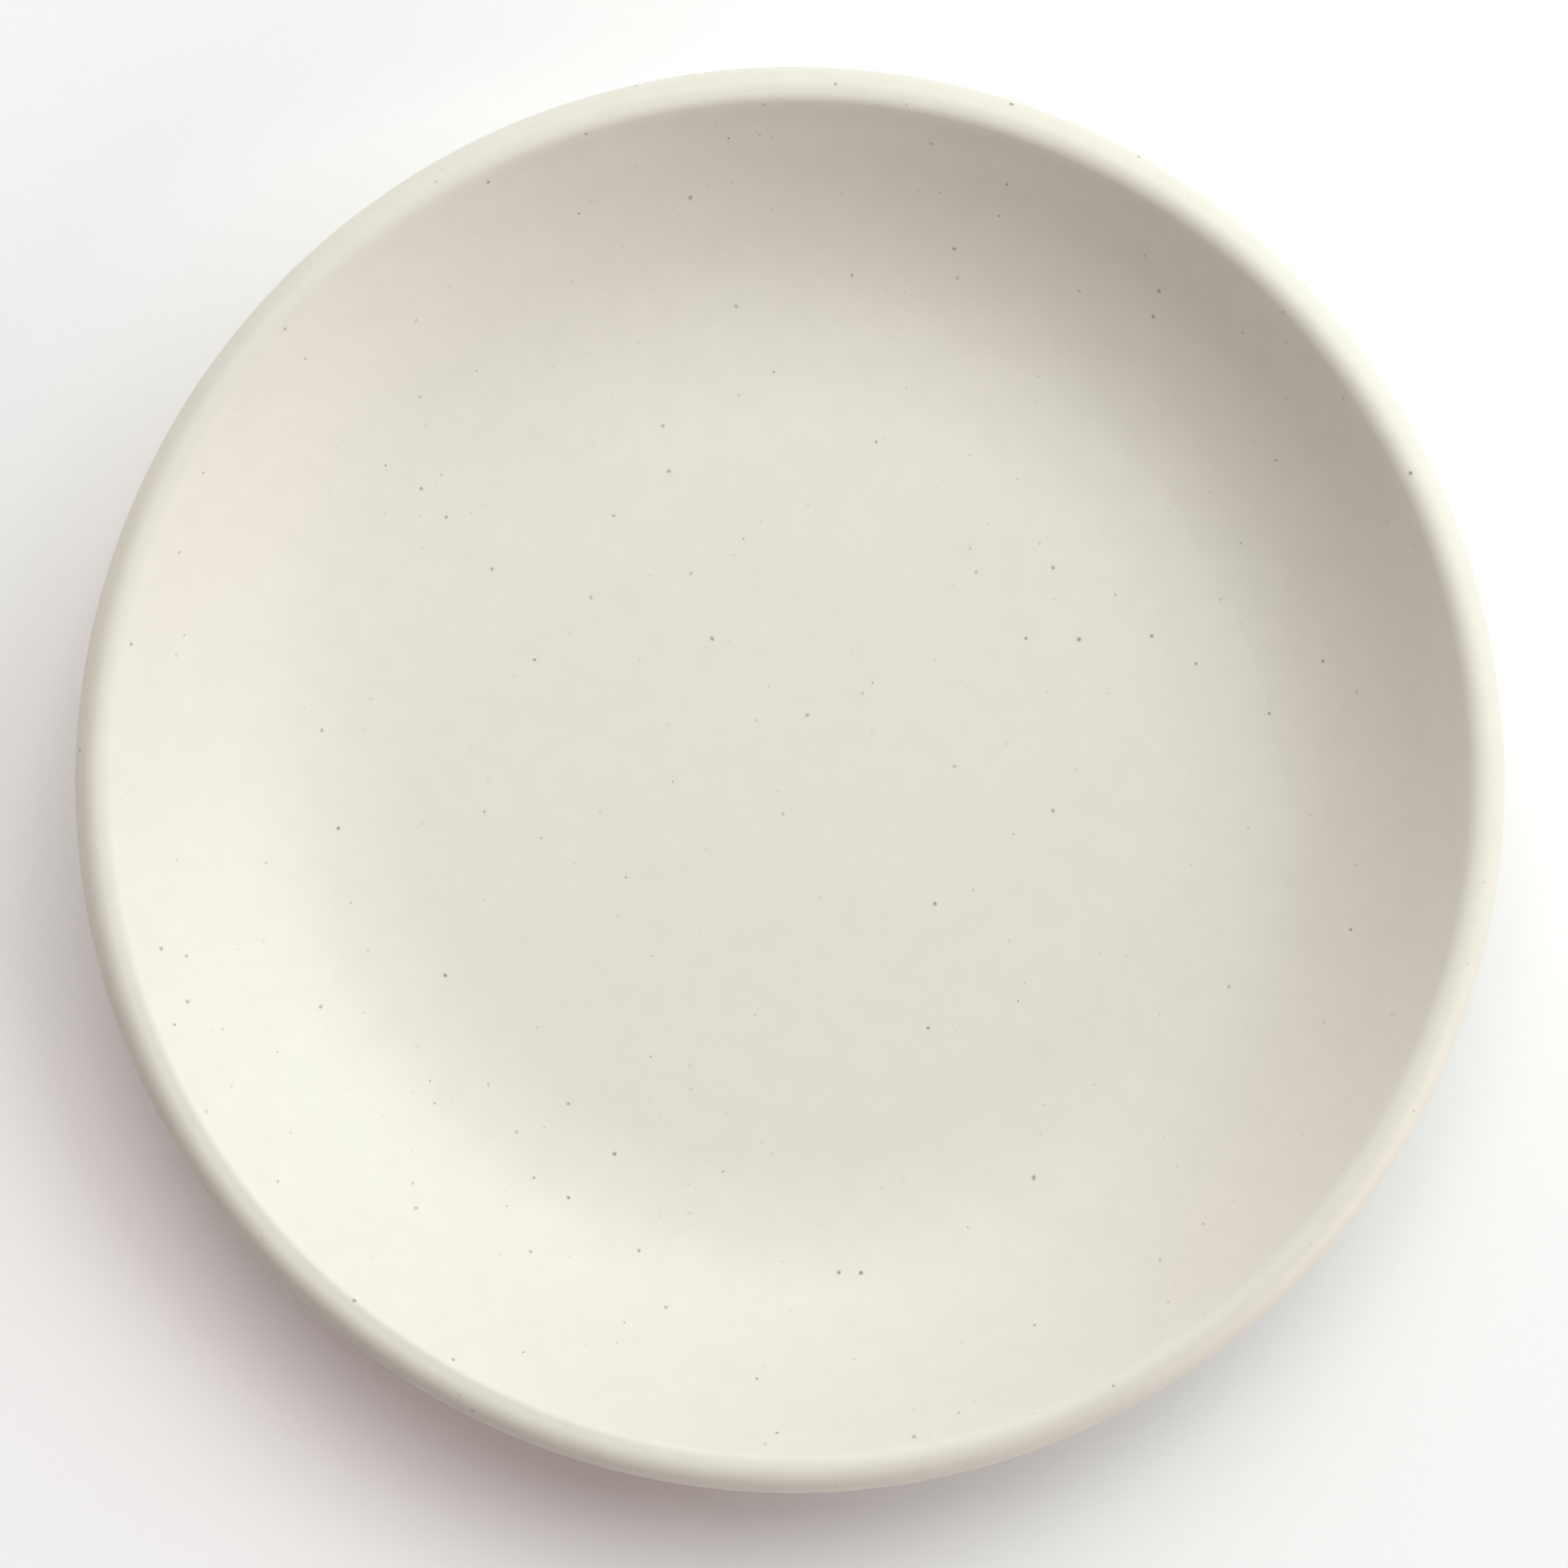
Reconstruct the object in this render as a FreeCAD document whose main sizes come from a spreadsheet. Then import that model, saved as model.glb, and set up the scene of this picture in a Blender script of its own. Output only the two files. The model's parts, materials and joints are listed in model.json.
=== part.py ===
import FreeCAD, Part
import math
import os
import Sketcher

# A shallow round stoneware dish with a thick rolled lip and a foot ring, in millimetres. It is made of
# three things: the fired clay, the glaze from the foot's outside over the lip to the middle of the
# floor, and the patch of glaze inside the foot ring. The foot itself is wiped bare before firing.
# Everything is turned about +Z. The origin is the centre of the plane that the foot rests on.

# The sizes are those of the fired clay. The glaze brings the dish to 200 mm across and 27.8 mm tall.
SIZES = {
    "rim_radius": 99.6,
    "rim_height": 27.4,
    "lip_radius": 3.05,  # the lip is a half circle, as thick as the wall under it
    "floor_radius": 53.5,  # the flat middle of the inside
    "floor_height": 9.0,
    "toe_radius": 82.4,  # the inside leaves the floor on this large arc,
    "toe_angle": 8.5,
    "bend_radius": 37.4,  # turns up more tightly,
    "bend_angle": 19.5,
    "flare_radius": 56.4,  # and opens into the straight flank under the lip
    "turn_radius": 55.6,  # the outside's one arc, from the flank down to the foot
    "under_slope": 8.0,  # the underside's slope where it meets the foot
    "foot_outside": 60.4,  # the edges of the ring-shaped face that the dish stands on
    "foot_inside": 57.0,
    "foot_round": 1.0,
    "foot_draft": 15.0,
    "foot_fillet": 2.9,
    "recess_height": 3.6,  # the ceiling inside the foot ring
    "glaze_thickness": 0.4,
    "glaze_line": 1.4,  # the height up to which the foot is wiped
}
FLANK_GUESS = 41.0  # the flank's slope before the sketch is solved
LENGTH_GUESSES = {"flank": 8.0, "foot_wall": 0.7}  # and its straight pieces' lengths

START, END, CENTRE = 1, 2, 3  # the points of a line or an arc in a sketch
AXES_CROSSING = (-1, 1)
AXIS = -2
TABLE = -1


def make_sheet(doc):
    sheet = doc.addObject("Spreadsheet::Sheet", "Sizes")
    for row, (name, value) in enumerate(SIZES.items(), start=1):
        sheet.set(f"A{row}", name)
        sheet.set(f"B{row}", str(value))
        sheet.setAlias(f"B{row}", name)
    doc.recompute()


def towards(heading):
    angle = math.radians(heading)
    return FreeCAD.Vector(math.cos(angle), math.sin(angle), 0)


class Outline:
    """Tangent lines and arcs in a sketch, drawn as a pen moves: x is the radius and y is the height.

    coats is 0 for the clay, and 1 for the same outline grown by the glaze's thickness.
    """

    def __init__(self, sketch, coats):
        self.sketch = sketch
        self.coats = coats
        self.at = FreeCAD.Vector(0, self.value("floor_height", 1), 0)
        self.heading = 0.0
        self.open_end = None

    def text(self, name, growth):
        """The expression for a size that grows by so many coats."""
        if self.coats and growth:
            return f"Sizes.{name} + {growth} * Sizes.glaze_thickness"
        return f"Sizes.{name}"

    def value(self, name, growth=0):
        return SIZES[name] + self.coats * growth * SIZES["glaze_thickness"]

    def fix(self, kind, *where):
        self.sketch.addConstraint(Sketcher.Constraint(kind, *where))

    def hold(self, text, kind, *where):
        """Binds a distance, a radius or an angle to an expression of the sheet's sizes."""
        number = self.sketch.evalExpression(text)
        if kind == "Angle":
            number = math.radians(number)
        index = self.sketch.addConstraint(Sketcher.Constraint(kind, *where, number))
        self.sketch.setExpression(f"Constraints[{index}]", text)

    def add(self, curve, first, last):
        piece = self.sketch.addGeometry(curve)
        if self.open_end:
            self.fix("Tangent", *self.open_end, piece, first)
        self.open_end = (piece, last)
        return piece

    def line(self, length):
        start = self.at
        self.at = start + towards(self.heading) * length
        return self.add(Part.LineSegment(start, self.at), START, END)

    def arc(self, name, growth, heading, span=None):
        """Turns to the heading on the named radius. span is the arc's angle, where that is held."""
        radius = self.value(name, growth)
        left = heading > self.heading
        side = 90.0 if left else -90.0
        centre = self.at + towards(self.heading + side) * radius
        self.at = centre + towards(heading - side) * radius
        ends = [math.radians(self.heading - side), math.radians(heading - side)]
        circle = Part.Circle(centre, FreeCAD.Vector(0, 0, 1), radius)
        self.heading = heading
        if left:
            piece = self.add(Part.ArcOfCircle(circle, *ends), START, END)
        else:
            piece = self.add(Part.ArcOfCircle(circle, *reversed(ends)), END, START)
        self.hold(self.text(name, growth), "Radius", piece)
        if span:
            self.hold(span, "Angle", piece)
        return piece

    def close(self, first):
        """Joins the ends with a line up the axis."""
        last = self.open_end
        start = FreeCAD.Vector(0, self.value("floor_height", 1), 0)
        axis = self.sketch.addGeometry(Part.LineSegment(self.at, start))
        self.fix("Coincident", *last, axis, START)
        self.fix("Coincident", axis, END, first, START)


def draw_dish(sketch, coats):
    """Draws the dish's half section: out along the floor, over the lip and back underneath."""
    pen = Outline(sketch, coats)
    inward = -180.0
    toe_end = SIZES["toe_angle"]
    bend_end = toe_end + SIZES["bend_angle"]
    under = inward + SIZES["under_slope"]
    foot_down = -90.0 - SIZES["foot_draft"]
    foot_up = 2 * inward - foot_down
    round_span = "90 - Sizes.foot_draft"

    floor = pen.line(SIZES["floor_radius"])
    pen.arc("toe_radius", -1, toe_end, "Sizes.toe_angle")
    pen.arc("bend_radius", -1, bend_end, "Sizes.bend_angle")
    pen.arc("flare_radius", -1, FLANK_GUESS)
    inner_flank = pen.line(LENGTH_GUESSES["flank"])
    lip = pen.arc("lip_radius", 1, FLANK_GUESS + inward)
    outer_flank = pen.line(LENGTH_GUESSES["flank"])
    pen.arc("turn_radius", 1, under)
    pen.arc("foot_fillet", -1, foot_down, round_span + " - Sizes.under_slope")
    pen.line(LENGTH_GUESSES["foot_wall"])
    pen.arc("foot_round", 1, inward, round_span)
    rest = pen.line(SIZES["foot_outside"] - SIZES["foot_inside"])
    pen.arc("foot_round", 1, foot_up, round_span)
    pen.line(LENGTH_GUESSES["foot_wall"])
    pen.arc("foot_fillet", -1, inward)
    ceiling = pen.line(pen.at.x)
    pen.close(floor)

    for flat in (floor, rest, ceiling):
        pen.fix("Horizontal", flat)
    pen.fix("Parallel", inner_flank, outer_flank)
    pen.fix("PointOnObject", floor, START, AXIS)
    pen.fix("PointOnObject", ceiling, END, AXIS)
    pen.hold(pen.text("floor_height", 1), "DistanceY", *AXES_CROSSING, floor, START)
    pen.hold("Sizes.floor_radius", "DistanceX", *AXES_CROSSING, floor, END)
    pen.hold("Sizes.rim_radius - Sizes.lip_radius", "DistanceX", *AXES_CROSSING, lip, CENTRE)
    pen.hold("Sizes.rim_height - Sizes.lip_radius", "DistanceY", *AXES_CROSSING, lip, CENTRE)
    pen.hold("Sizes.foot_outside", "DistanceX", *AXES_CROSSING, rest, START)
    pen.hold("Sizes.foot_inside", "DistanceX", *AXES_CROSSING, rest, END)
    pen.hold(pen.text("recess_height", -1), "DistanceY", *AXES_CROSSING, ceiling, END)
    if coats:
        pen.hold("Sizes.glaze_thickness", "DistanceY", rest, START, *AXES_CROSSING)
    else:
        pen.fix("PointOnObject", rest, START, TABLE)


def turn_dish(doc, name, coats):
    """A body turned from the dish's half section."""
    body = doc.addObject("PartDesign::Body", name)
    sketch = body.newObject("Sketcher::SketchObject", name + "_section")
    plane = next(item for item in body.Origin.OriginFeatures if item.Role == "XZ_Plane")
    sketch.AttachmentSupport = [(plane, "")]
    sketch.MapMode = "FlatFace"
    draw_dish(sketch, coats)
    doc.recompute()
    turned = body.newObject("PartDesign::Revolution", name + "_turned")
    turned.Profile = (sketch, [""])
    turned.ReferenceAxis = (sketch, ["V_Axis"])
    turned.Angle = 360.0
    body.Tip = turned
    doc.recompute()
    return body


def add_cylinder(doc, name, radius, bottom, top):
    """A cylinder about the axis, its sizes given as expressions."""
    cylinder = doc.addObject("Part::Cylinder", name)
    cylinder.setExpression("Radius", radius)
    cylinder.setExpression("Height", f"{top} - ({bottom})")
    cylinder.setExpression("Placement.Base.z", bottom)
    return cylinder


def add_boolean(doc, kind, name, base, tool):
    result = doc.addObject(f"Part::{kind}", name)
    result.Base = base
    result.Tool = tool
    return result


def make_glaze(doc, clay):
    """The glaze is what the dipped dish has over its clay, above the line that the foot is wiped to."""
    dipped = turn_dish(doc, "dipped_dish", 1)
    skin = add_boolean(doc, "Cut", "dipped_skin", dipped, clay)
    below = "-2 * Sizes.glaze_thickness"
    inside_base = "(Sizes.recess_height + Sizes.floor_height) / 2"
    foot_middle = "(Sizes.foot_outside + Sizes.foot_inside) / 2"
    wiped = add_cylinder(doc, "wiped_zone", "Sizes.rim_radius", below, "Sizes.glaze_line")
    under = add_cylinder(doc, "under_zone", foot_middle, below, inside_base)
    recess = add_cylinder(doc, "recess_zone", foot_middle, "Sizes.glaze_line", inside_base)
    outer_skin = add_boolean(doc, "Cut", "outer_skin", skin, under)
    coat = add_boolean(doc, "Cut", "glaze_coat", outer_skin, wiped)
    patch = add_boolean(doc, "Common", "base_glaze", skin, recess)
    return [coat, patch]


def check(doc, pieces):
    for item in doc.Objects:
        if {"Invalid", "Error"} & set(item.State):
            raise RuntimeError(f"{item.Label} failed: {item.State}")
        if item.TypeId == "Sketcher::SketchObject" and not item.FullyConstrained:
            raise RuntimeError(f"{item.Label} has {item.DoF} free sizes")
    for piece in pieces:
        if piece.Shape.isNull() or not piece.Shape.isValid() or len(piece.Shape.Solids) != 1:
            raise RuntimeError(f"{piece.Label} is not one sound solid")


def main():
    doc = FreeCAD.newDocument("dish")
    make_sheet(doc)
    clay = turn_dish(doc, "stoneware_body", 0)
    pieces = [clay, *make_glaze(doc, clay)]
    for piece in pieces:
        piece.Label = piece.Name
    doc.recompute()
    check(doc, pieces)
    os.makedirs("parts", exist_ok=True)
    for piece in pieces:
        piece.Shape.exportStep(f"parts/{piece.Label}.step")
        box = piece.Shape.optimalBoundingBox(False, False)
        print(f"{piece.Label}: {piece.Shape.Volume:.0f} mm3, {box.XLength:.2f} mm across, "
              f"{box.ZMin:.2f} to {box.ZMax:.2f} mm high")


main()
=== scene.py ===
import json
import math
import bmesh
import bpy
import numpy as np
from mathutils import Matrix, Vector, noise


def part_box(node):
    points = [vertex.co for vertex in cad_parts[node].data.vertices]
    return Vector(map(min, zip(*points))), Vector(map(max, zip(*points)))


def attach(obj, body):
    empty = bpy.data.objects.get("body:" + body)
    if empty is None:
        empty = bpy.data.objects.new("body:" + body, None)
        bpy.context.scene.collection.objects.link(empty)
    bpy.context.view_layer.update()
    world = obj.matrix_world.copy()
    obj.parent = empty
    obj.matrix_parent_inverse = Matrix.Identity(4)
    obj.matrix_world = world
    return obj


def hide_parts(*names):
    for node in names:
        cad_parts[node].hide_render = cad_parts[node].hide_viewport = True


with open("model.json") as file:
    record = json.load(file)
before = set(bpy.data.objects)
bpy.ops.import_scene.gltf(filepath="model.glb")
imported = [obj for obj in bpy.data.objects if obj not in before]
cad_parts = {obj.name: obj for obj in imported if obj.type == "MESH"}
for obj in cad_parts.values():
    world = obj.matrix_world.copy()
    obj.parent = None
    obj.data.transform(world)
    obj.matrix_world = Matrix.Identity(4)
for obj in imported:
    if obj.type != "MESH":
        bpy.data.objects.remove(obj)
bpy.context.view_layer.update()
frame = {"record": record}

MM = 0.001

# What the frame says about the dish. Lengths are in metres.
MOUNTS = {mount["name"]: mount for mount in frame["record"]["mounts"]}
_, CLAY_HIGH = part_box("stoneware_body")
COAT_LOW, COAT_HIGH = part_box("glaze_coat")
RIM_RADIUS = COAT_HIGH.x
RIM_HEIGHT = COAT_HIGH.z
GLAZE = COAT_HIGH.z - CLAY_HIGH.z
GLAZE_LINE = COAT_LOW.z
CLAY_FLOOR = MOUNTS["floor"]["pos_m"][2] - GLAZE

# The clay's half section, as the CAD model has it: straight lengths, radii and slopes in degrees.
FLOOR_RADIUS = 53.5 * MM
TOE_RADIUS = 82.4 * MM
TOE_SLOPE = 8.5
BEND_RADIUS = 37.4 * MM
BEND_SLOPE = 28.0
FLARE_RADIUS = 56.4 * MM
FLANK_SLOPE = 41.3
INNER_FLANK = 8.1 * MM
LIP_RADIUS = 3.05 * MM
OUTER_FLANK = 7.41 * MM
TURN_RADIUS = 55.6 * MM
UNDER_SLOPE = 8.0
FOOT_FILLET = 2.9 * MM
FOOT_DRAFT = 15.0
FOOT_WALL = 1.05 * MM
FOOT_ROUND = 1.0 * MM
FOOT_FLAT = 3.4 * MM
RECESS_WALL = 0.73 * MM

# How far apart the section's points are, and how many points go round each ring.
FLAT_STEP = 3.0 * MM
TOE_STEP = 1.8 * MM
WALL_STEP = 1.4 * MM
FLANK_STEP = 1.3 * MM
LIP_STEP = 0.42 * MM
FILLET_STEP = 0.35 * MM
ROUND_STEP = 0.25 * MM
FOOT_WALL_STEP = 0.2 * MM
FOOT_STEP = 0.7 * MM
SPOKES = 360

# How a hand-finished rim strays from true: size in mm, waves in one turn and phase in radians.
SPREAD_WAVES = ((0.15, 2, -2.2), (0.11, 3, 2.4), (0.06, 5, 1.2))
LIFT_WAVES = ((0.10, 2, 0.9), (0.07, 3, -1.1), (0.03, 7, 0.0))
STRAYING = (0.66, 1.0)  # shares of the rim's radius between which it grows: the foot stays true

# Sides where the lip's inner shoulder is pressed up and its top is flatter, and by how much. It
# rises by 93% of that at most, because PRESSED_SIDE ends past the largest cosine.
PRESSED = {228.0: 0.46 * MM, 105.0: 0.30 * MM}
PRESSED_BAND = (0.920, 0.943, 0.944, 0.963)  # shares of the rim's radius: starts, full, full, ends
PRESSED_SIDE = (0.48, 1.10)  # cosines of the turn from that side: none of it, all of it
PRESSED_ABOVE = 0.8 * RIM_HEIGHT

# The glaze's skin. A lump is its size, how much it does and the shift of its seed.
EDGE_ROUND = 0.45 * MM  # length over which the glaze thins out at its wiped edge
EDGE_STEPS = 6
EDGE_CLEAR = 1.3 * EDGE_ROUND  # the section's own points stop this far from the edge
BEAD = 0.30  # how much thicker the glaze is where it has gathered above that edge
BEAD_WIDTH = 1.3 * MM
WAVE_REACH = 6.0 * MM  # the wiped edge's waviness fades out over this length
WAVE_LUMPS = ((30.0 * MM, 0.22 * MM, 0.0), (9.0 * MM, 0.11 * MM, 4.0))
SWELL_LUMPS = ((16.0 * MM, 0.10, 1.0), (5.0 * MM, 0.05, 2.0))  # shares of the thickness
COAT_SEED = 3.0
PATCH_SEED = 21.0

# The turning lines under the dish. The bands are shares of the rim's radius: starts, full, full, ends.
TURNING = 0.05 * MM
TURNING_PITCH = (4.3 * MM, 2.9 * MM)
TURNED_WALL = (0.64, 0.70, 0.90, 0.95)
TURNED_RECESS = (0.03, 0.10, 0.47, 0.52)


def smooth(low, high, value):
    """0 below low, 1 above high and a soft curve between."""
    share = np.clip((value - low) / (high - low), 0.0, 1.0)
    return share * share * (3.0 - 2.0 * share)


def band(starts, full, still_full, ends, value):
    """1 in the middle of the band, 0 outside it and soft curves between."""
    return smooth(starts, full, value) * (1.0 - smooth(still_full, ends, value))


# ---------------------------------------------------------------- the section

class Section:
    """Points along lines and arcs, each with its outward normal. x is radius and y is height."""

    def __init__(self, height):
        self.at = np.array([0.0, height])
        self.heading = 0.0
        self.points = [self.at]
        self.normals = [np.array([0.0, 1.0])]

    def line(self, length, step):
        angle = math.radians(self.heading)
        along = np.array([math.cos(angle), math.sin(angle)])
        start = self.at
        count = max(1, round(length / step))
        for i in range(1, count + 1):
            self.points.append(start + along * length * i / count)
            self.normals.append(np.array([-along[1], along[0]]))
        self.at = self.points[-1]

    def arc(self, radius, heading, step):
        left = 1.0 if heading > self.heading else -1.0
        first = math.radians(self.heading)
        last = math.radians(heading)
        centre = self.at + left * radius * np.array([-math.sin(first), math.cos(first)])
        count = max(2, round(abs(last - first) * radius / step))
        for angle in np.linspace(first, last, count + 1)[1:]:
            normal = np.array([-math.sin(angle), math.cos(angle)])
            self.points.append(centre - left * radius * normal)
            self.normals.append(normal)
        self.at = self.points[-1]
        self.heading = heading


def clay_section():
    """The clay's outline, from the middle of the floor over the lip to the middle of the recess."""
    section = Section(CLAY_FLOOR)
    section.line(FLOOR_RADIUS, FLAT_STEP)
    section.arc(TOE_RADIUS, TOE_SLOPE, TOE_STEP)
    section.arc(BEND_RADIUS, BEND_SLOPE, WALL_STEP)
    section.arc(FLARE_RADIUS, FLANK_SLOPE, WALL_STEP)
    section.line(INNER_FLANK, FLANK_STEP)
    section.arc(LIP_RADIUS, FLANK_SLOPE - 180.0, LIP_STEP)
    section.line(OUTER_FLANK, FLANK_STEP)
    section.arc(TURN_RADIUS, UNDER_SLOPE - 180.0, FLANK_STEP)
    section.arc(FOOT_FILLET, -90.0 - FOOT_DRAFT, FILLET_STEP)
    section.line(FOOT_WALL, FOOT_WALL_STEP)
    section.arc(FOOT_ROUND, -180.0, ROUND_STEP)
    section.line(FOOT_FLAT, FOOT_STEP)
    section.arc(FOOT_ROUND, FOOT_DRAFT - 270.0, ROUND_STEP)
    section.line(RECESS_WALL, FOOT_WALL_STEP)
    section.arc(FOOT_FILLET, -180.0, FILLET_STEP)
    section.line(section.at[0], FLAT_STEP)
    section.points[-1][0] = 0.0
    return np.array(section.points), np.array(section.normals)


# ---------------------------------------------------------------- the meshes

def by_hand(points):
    """Moves points as a hand-finished rim strays from true, and presses up the lip's shoulder."""
    x, y, z = points[..., 0], points[..., 1], points[..., 2]
    turn = np.arctan2(y, x)
    radius = np.hypot(x, y) / RIM_RADIUS
    share = smooth(*STRAYING, radius)
    spread = sum(size * np.cos(waves * turn + phase) for size, waves, phase in SPREAD_WAVES)
    lift = sum(size * np.sin(waves * turn + phase) for size, waves, phase in LIFT_WAVES)
    grown = 1.0 + share * spread * MM / RIM_RADIUS
    raised = share * lift * MM
    shoulder = band(*PRESSED_BAND, radius) * (z > PRESSED_ABOVE)
    for side, height in PRESSED.items():
        near = np.cos(turn - math.radians(side))
        raised = raised + height * shoulder * smooth(*PRESSED_SIDE, near)
    return np.stack([x * grown, y * grown, z + raised], axis=-1)


def spin(radius, height):
    """A ring of points round the axis for each row of radius and height."""
    turns = np.arange(SPOKES) * 2.0 * math.pi / SPOKES
    return np.stack([radius * np.cos(turns), radius * np.sin(turns), height + 0.0 * turns], axis=-1)


def uneven(points, lumps, seed):
    """A soft random value at each point, the sum of the lumps."""
    total = np.zeros(points.shape[:-1])
    for size, strength, shift in lumps:
        start = (seed + shift) * Vector((1.0, 2.3, -1.7))
        values = [noise.noise(Vector(point) / size + start) for point in points.reshape(-1, 3)]
        total += strength * np.array(values).reshape(total.shape)
    return total


def turned(rings, normals):
    """Adds faint spiral lines of turning outside the wall and under the base, but not at the foot."""
    turns = np.arange(SPOKES) * 2.0 * math.pi / SPOKES
    radius = np.hypot(rings[..., 0], rings[..., 1])
    share = radius / RIM_RADIUS
    under = (normals[..., 2] < 0.0) * (band(*TURNED_WALL, share) + band(*TURNED_RECESS, share))
    lines = sum(np.sin(2.0 * math.pi * radius / pitch + turns) for pitch in TURNING_PITCH)
    return rings + normals * (TURNING * under * lines)[..., None]


def build(name, rings, node):
    """A closed mesh through the rings. The first and the last ring are single points on the axis."""
    rings = by_hand(rings)
    mesh = bmesh.new()
    first = mesh.verts.new(rings[0][0])
    last = mesh.verts.new(rings[-1][0])
    loops = [[mesh.verts.new(point) for point in ring] for ring in rings[1:-1]]
    for i in range(SPOKES):
        j = (i + 1) % SPOKES
        mesh.faces.new((first, loops[0][i], loops[0][j]))
        mesh.faces.new((last, loops[-1][j], loops[-1][i]))
        for near, far in zip(loops, loops[1:]):
            mesh.faces.new((near[i], far[i], far[j], near[j]))
    bmesh.ops.recalc_face_normals(mesh, faces=mesh.faces)
    data = bpy.data.meshes.new(name)
    mesh.to_mesh(data)
    mesh.free()
    data.polygons.foreach_set("use_smooth", [True] * len(data.polygons))
    piece = bpy.data.objects.new(name, data)
    bpy.context.collection.objects.link(piece)
    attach(piece, "root")
    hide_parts(node)
    return piece


def glaze_shell(name, points, normals, node, seed):
    """A closed skin of glaze on the clay, from the axis along the points to the wiped edge."""
    length = np.concatenate([[0.0], np.cumsum(np.hypot(*np.diff(points, axis=0).T))])
    below = int(np.argmax(points[:, 1] < GLAZE_LINE))
    edge = np.interp(GLAZE_LINE, points[[below, below - 1], 1], length[[below, below - 1]])
    rounded = 1.0 - np.sin(np.linspace(0.0, math.pi / 2.0, EDGE_STEPS + 1))
    inner = length[length < edge - EDGE_CLEAR]
    stations = np.concatenate([inner, edge - EDGE_ROUND * rounded])[:, None]
    to_edge = edge - stations

    middle = RIM_RADIUS * spin(np.ones((1, 1)), np.zeros((1, 1)))
    wave = uneven(middle, WAVE_LUMPS, seed)
    moved = stations + wave * (1.0 - smooth(0.0, WAVE_REACH, to_edge))

    def read(values):
        return np.interp(moved, length, values)

    out = spin(read(normals[:, 0]), read(normals[:, 1]))
    clay = turned(spin(read(points[:, 0]), read(points[:, 1])), out)
    swell = 1.0 + uneven(clay, SWELL_LUMPS, seed)
    bead = 1.0 + BEAD * np.exp(-((to_edge / BEAD_WIDTH) ** 2))
    rounding = np.sqrt(1.0 - (1.0 - np.clip(to_edge / EDGE_ROUND, 0.0, 1.0)) ** 2)
    face = clay + out * (GLAZE * swell * bead * rounding)[..., None]
    return build(name, np.concatenate([face, clay[-2::-1]]), node)


def make_dish():
    points, normals = clay_section()
    rings = turned(spin(points[:, :1], points[:, 1:]), spin(normals[:, :1], normals[:, 1:]))
    clay = build("fired_clay", rings, "stoneware_body")
    coat = glaze_shell("speckled_glaze", points, normals, "glaze_coat", COAT_SEED)
    back, back_normals = points[::-1], normals[::-1]
    patch = glaze_shell("foot_recess_glaze", back, back_normals, "base_glaze", PATCH_SEED)
    return clay, coat, patch


# ---------------------------------------------------------------- the materials

SPECK_CORE = 0.25  # share of a speck's radius that has its full strength


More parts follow.
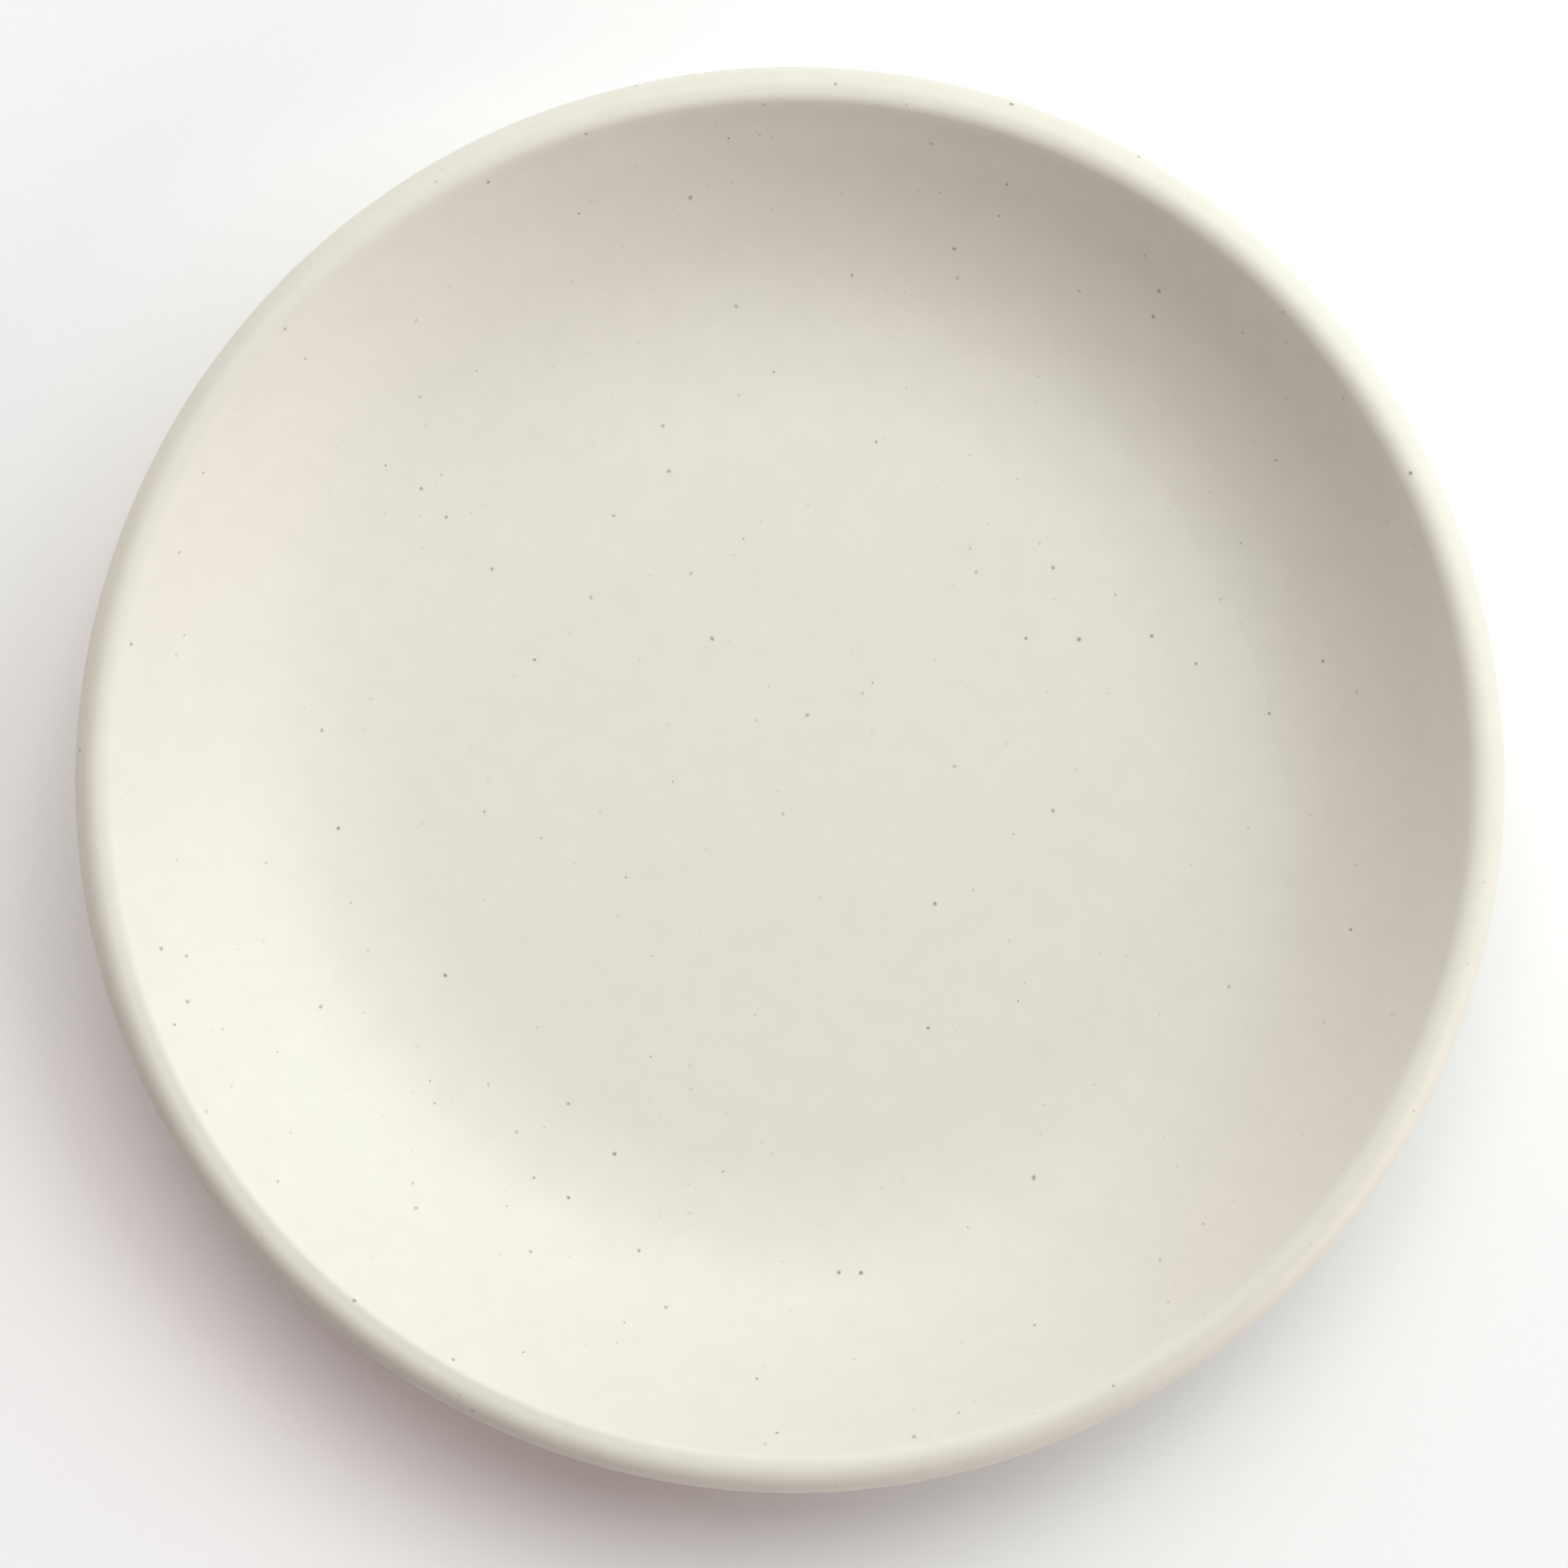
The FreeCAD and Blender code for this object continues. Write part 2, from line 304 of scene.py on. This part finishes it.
class Finish:
    """A material whose nodes read the object's own coordinates, in metres."""

    def __init__(self, name):
        self.material = bpy.data.materials.new(name)
        self.material.use_nodes = True
        self.tree = self.material.node_tree
        self.shader = self.tree.nodes["Principled BSDF"]
        self.place = self.add("ShaderNodeTexCoord").outputs["Object"]

    def add(self, kind, settings=None, inputs=None):
        node = self.tree.nodes.new(kind)
        for key, value in (settings or {}).items():
            setattr(node, key, value)
        for key, value in (inputs or {}).items():
            self.feed(node.inputs[key], value)
        return node

    def feed(self, socket, value):
        if isinstance(value, bpy.types.NodeSocket):
            self.tree.links.new(value, socket)
        else:
            socket.default_value = value

    def calc(self, operation, *values):
        return self.add("ShaderNodeMath", {"operation": operation}, dict(enumerate(values))).outputs[0]

    def ramp(self, value, low, high, at_low=0.0, at_high=1.0):
        """at_low below low, at_high above high and a soft curve between."""
        inputs = {
            "Value": value,
            "From Min": low,
            "From Max": high,
            "To Min": at_low,
            "To Max": at_high,
        }
        settings = {"interpolation_type": "SMOOTHSTEP"}
        return self.add("ShaderNodeMapRange", settings, inputs).outputs[0]

    def noise_node(self, size, detail, rough):
        inputs = {"Vector": self.place, "Scale": 1.0 / size, "Detail": detail, "Roughness": rough}
        return self.add("ShaderNodeTexNoise", None, inputs)

    def cloud(self, size, detail=2.0, rough=0.5):
        """Noise around 0.5 with lumps of the given size."""
        return self.noise_node(size, detail, rough).outputs["Fac"]

    def blend(self, share, under, over, kind="MIX"):
        settings = {"data_type": "RGBA", "blend_type": kind}
        return self.add("ShaderNodeMix", settings, {0: share, 6: under, 7: over}).outputs[2]

    def grey(self, value):
        """A colour whose three channels are all the value."""
        inputs = {0: value, 1: value, 2: value}
        return self.add("ShaderNodeCombineColor", None, inputs).outputs[0]

    def vector(self, operation, a, b):
        settings = {"operation": operation}
        return self.add("ShaderNodeVectorMath", settings, {0: a, 1: b}).outputs[0]

    def moved(self, size, reach):
        """The place, pushed about at random, so that round marks become irregular."""
        push = self.noise_node(size, detail=1.0, rough=0.5).outputs["Color"]
        centred = self.vector("SUBTRACT", push, (0.5, 0.5, 0.5))
        scaled = self.vector("MULTIPLY", centred, (reach, reach, reach))
        return self.vector("ADD", self.place, scaled)

    def specks(self, cell, smallest, largest, place):
        """Specks, one in each cell of space, as their strength and their random values.

        A surface shows only the specks that it cuts. The cell's size and the smallest and largest
        radius are in metres.
        """
        inputs = {"Vector": place, "Scale": 1.0 / cell}
        cells = self.add("ShaderNodeTexVoronoi", None, inputs)
        inputs = {"Color": cells.outputs["Color"]}
        chance = self.add("ShaderNodeSeparateColor", None, inputs).outputs
        radius = self.ramp(chance[0], 0.0, 1.0, smallest / cell, largest / cell)
        core = self.calc("MULTIPLY", radius, SPECK_CORE)
        away = self.calc("SUBTRACT", cells.outputs["Distance"], core)
        share = self.calc("DIVIDE", away, self.calc("SUBTRACT", radius, core))
        return self.ramp(share, 0.0, 1.0, 1.0, 0.0), chance

    def bump(self, height, depth, normal=None):
        inputs = {"Height": height, "Distance": depth, "Strength": 1.0}
        if normal:
            inputs["Normal"] = normal
        return self.add("ShaderNodeBump", None, inputs).outputs[0]


def colour(red, green, blue):
    return (red, green, blue, 1.0)


CREAM_WARM = colour(0.742, 0.718, 0.627)
CREAM_COOL = colour(0.735, 0.717, 0.630)
SPECK = colour(0.19, 0.18, 0.155)
SPECK_RUST = colour(0.30, 0.245, 0.185)

# Specks: the size of a cell, and the smallest and largest radius of the speck in it.
GLAZE_SPECKS = (3.5 * MM, 0.17 * MM, 0.46 * MM)
GLAZE_FINE_SPECKS = (2.4 * MM, 0.08 * MM, 0.22 * MM)

# Pushes that make them irregular: the size of the lumps and the reach.
GLAZE_PUSH = (0.9 * MM, 0.35 * MM)

# Ramps: a random value's low and high end, and what it gives there.
SPECK_STRENGTH = (0.1, 1.0, 0.12, 0.95)
FINE_STRENGTH = (0.2, 1.0, 0.1, 0.45)
DRIFT_RAMP = (0.3, 0.7)
MOTTLE_RAMP = (0.25, 0.75, 0.984, 1.014)
SATIN_RAMP = (0.2, 0.8, 0.40, 0.50)
SPECK_DULLNESS = 0.12  # how much rougher a speck is

# Clouds: the size of the lumps, the octaves and the roughness.
GLAZE_DRIFT = (48.0 * MM, 2.0)
GLAZE_MOTTLE = (4.0 * MM, 4.0, 0.6)
GLAZE_SATIN = (7.0 * MM, 4.0, 0.6)
GLAZE_SWELL = (3.2 * MM, 2.0)
GLAZE_SKIN = (0.7 * MM, 2.0)

SWELL_DEPTH = 0.012 * MM
SKIN_DEPTH = 0.003 * MM
PIT_DEPTH = 0.02 * MM


def glaze_finish():
    """Cream satin glaze, with the clay's iron showing through as scattered specks."""
    finish = Finish("satin_cream_glaze")
    rough_place = finish.moved(*GLAZE_PUSH)
    marks, chance = finish.specks(*GLAZE_SPECKS, rough_place)
    fine, fine_chance = finish.specks(*GLAZE_FINE_SPECKS, rough_place)
    strength = finish.calc("MULTIPLY", marks, finish.ramp(chance[1], *SPECK_STRENGTH))
    fine_strength = finish.calc("MULTIPLY", fine, finish.ramp(fine_chance[1], *FINE_STRENGTH))

    drift = finish.ramp(finish.cloud(*GLAZE_DRIFT), *DRIFT_RAMP)
    base = finish.blend(drift, CREAM_COOL, CREAM_WARM)
    mottle = finish.ramp(finish.cloud(*GLAZE_MOTTLE), *MOTTLE_RAMP)
    base = finish.blend(1.0, base, finish.grey(mottle), "MULTIPLY")
    tint = finish.blend(chance[2], SPECK, SPECK_RUST)
    base = finish.blend(fine_strength, base, SPECK_RUST)
    base = finish.blend(strength, base, tint)
    finish.feed(finish.shader.inputs["Base Color"], base)

    satin = finish.ramp(finish.cloud(*GLAZE_SATIN), *SATIN_RAMP)
    satin = finish.calc("ADD", satin, finish.calc("MULTIPLY", strength, SPECK_DULLNESS))
    finish.feed(finish.shader.inputs["Roughness"], satin)
    swell = finish.bump(finish.cloud(*GLAZE_SWELL), SWELL_DEPTH)
    skin = finish.bump(finish.cloud(*GLAZE_SKIN), SKIN_DEPTH, swell)
    pits = finish.bump(finish.calc("SUBTRACT", 1.0, marks), PIT_DEPTH, skin)
    finish.feed(finish.shader.inputs["Normal"], pits)
    return finish.material


CLAY = colour(0.50, 0.385, 0.27)
CLAY_DARK = colour(0.39, 0.29, 0.195)
GROG = colour(0.62, 0.52, 0.40)

# The clay's specks, pushes, ramps and clouds, with the same numbers in the same order.
CLAY_GROG = (1.5 * MM, 0.1 * MM, 0.4 * MM)
CLAY_IRON = (2.6 * MM, 0.1 * MM, 0.45 * MM)
GROG_PUSH = (0.5 * MM, 0.3 * MM)
IRON_PUSH = (0.7 * MM, 0.4 * MM)
GROG_STRENGTH = 0.7
IRON_STRENGTH = (0.0, 1.0, 0.3, 0.9)
SHADE_RAMP = (0.3, 0.7, 0.86, 1.08)
DRY_RAMP = (0.2, 0.8, 0.74, 0.92)
CLAY_DRIFT = (14.0 * MM, 4.0, 0.6)
CLAY_SAND = (0.45 * MM, 3.0, 0.7)
SAND_DEPTH = 0.06 * MM
GROG_DEPTH = 0.05 * MM


def clay_finish():
    """Bare fired stoneware on the foot: buff, sandy and dry, with grog and iron."""
    finish = Finish("bare_stoneware")
    drift = finish.ramp(finish.cloud(*CLAY_DRIFT), *DRIFT_RAMP)
    base = finish.blend(drift, CLAY, CLAY_DARK)
    sand = finish.cloud(*CLAY_SAND)
    grog, _ = finish.specks(*CLAY_GROG, finish.moved(*GROG_PUSH))
    base = finish.blend(finish.calc("MULTIPLY", grog, GROG_STRENGTH), base, GROG)
    iron, chance = finish.specks(*CLAY_IRON, finish.moved(*IRON_PUSH))
    iron_strength = finish.calc("MULTIPLY", iron, finish.ramp(chance[1], *IRON_STRENGTH))
    base = finish.blend(iron_strength, base, SPECK)
    base = finish.blend(1.0, base, finish.grey(finish.ramp(sand, *SHADE_RAMP)), "MULTIPLY")
    finish.feed(finish.shader.inputs["Base Color"], base)
    finish.feed(finish.shader.inputs["Roughness"], finish.ramp(sand, *DRY_RAMP))
    grain = finish.bump(sand, SAND_DEPTH)
    finish.feed(finish.shader.inputs["Normal"], finish.bump(grog, GROG_DEPTH, grain))
    return finish.material


# ---------------------------------------------------------------- the studio

FLOOR_SIDE = 12.0  # metres
FLOOR_COLOUR = colour(0.95, 0.955, 0.945)
FLOOR_FIBRE = (1.5 * MM, 4.0, 0.7)
FIBRE_RAMP = (0.2, 0.8, 0.985, 1.0)
FLOOR_ROUGHNESS = 0.95
FLOOR_SHINE = 0.1


def make_floor():
    """A square of plain pale paper under the dish."""
    mesh = bmesh.new()
    half = FLOOR_SIDE / 2.0
    places = ((-half, -half), (half, -half), (half, half), (-half, half))
    corners = [mesh.verts.new((x, y, 0.0)) for x, y in places]
    mesh.faces.new(corners)
    data = bpy.data.meshes.new("studio_floor")
    mesh.to_mesh(data)
    mesh.free()
    floor = bpy.data.objects.new("studio_floor", data)
    bpy.context.collection.objects.link(floor)
    finish = Finish("pale_paper")
    fibre = finish.ramp(finish.cloud(*FLOOR_FIBRE), *FIBRE_RAMP)
    base = finish.blend(1.0, FLOOR_COLOUR, finish.grey(fibre), "MULTIPLY")
    finish.feed(finish.shader.inputs["Base Color"], base)
    finish.feed(finish.shader.inputs["Roughness"], FLOOR_ROUGHNESS)
    finish.feed(finish.shader.inputs["Specular IOR Level"], FLOOR_SHINE)
    data.materials.append(finish.material)


def toward(azimuth, elevation):
    """The direction of something seen from the dish, with angles in degrees."""
    around, above = math.radians(azimuth), math.radians(elevation)
    level = math.cos(above)
    return Vector((level * math.cos(around), level * math.sin(around), math.sin(above)))


# Soft boxes: azimuth and elevation in degrees, side in metres, radiance and tint.
LIGHTS = {
    "key": (30.0, 38.0, 2.4, 2.40, (0.79, 1.0, 1.01)),
    "high_key": (90.0, 58.0, 2.4, 2.90, (1.00, 1.0, 0.98)),
    "left_side": (120.0, 20.0, 1.8, 1.17, (1.14, 1.0, 1.12)),
    "right_side": (330.0, 20.0, 1.8, 2.75, (1.20, 1.0, 1.05)),
}
LIGHT_DISTANCE = 2.8
AMBIENT = colour(0.14, 0.10, 0.095)


def make_lights():
    middle = Vector((0.0, 0.0, RIM_HEIGHT / 2.0))
    for name, (azimuth, elevation, side, radiance, tint) in LIGHTS.items():
        light = bpy.data.lights.new(name, "AREA")
        light.shape = "SQUARE"
        light.size = side
        light.energy = radiance * math.pi * side * side
        light.color = tint
        lamp = bpy.data.objects.new(name, light)
        bpy.context.collection.objects.link(lamp)
        direction = toward(azimuth, elevation)
        lamp.location = middle + direction * LIGHT_DISTANCE
        lamp.rotation_mode = "QUATERNION"
        lamp.rotation_quaternion = direction.to_track_quat("Z", "Y")
    world = bpy.data.worlds.new("studio_world")
    world.use_nodes = True
    backdrop = world.node_tree.nodes["Background"]
    backdrop.inputs["Color"].default_value = AMBIENT
    backdrop.inputs["Strength"].default_value = 1.0
    bpy.context.scene.world = world


LENS = 100.0  # mm, and so is the width of the sensor
SENSOR = 36.0
CAMERA_TILT = 5.0  # degrees from straight above
CAMERA_SIDE = 260.0  # the side that it leans to
CAMERA_DISTANCE = 6.056 * RIM_RADIUS
CAMERA_AIM = Vector((-1.20 * MM, -2.24 * MM, RIM_HEIGHT))


def make_camera():
    data = bpy.data.cameras.new("camera")
    data.lens = LENS
    data.sensor_width = SENSOR
    camera = bpy.data.objects.new("camera", data)
    bpy.context.collection.objects.link(camera)
    back = toward(CAMERA_SIDE, 90.0 - CAMERA_TILT)
    right = Vector((0.0, 1.0, 0.0)).cross(back).normalized()
    up = back.cross(right)
    facing = Matrix((right, up, back)).transposed().to_4x4()
    camera.matrix_world = Matrix.Translation(CAMERA_AIM + back * CAMERA_DISTANCE) @ facing
    bpy.context.scene.camera = camera


clay_piece, coat_piece, patch_piece = make_dish()
glaze_material = glaze_finish()
clay_piece.data.materials.append(clay_finish())
coat_piece.data.materials.append(glaze_material)
patch_piece.data.materials.append(glaze_material)
make_floor()
make_lights()
make_camera()
bpy.context.scene.view_settings.view_transform = "Standard"
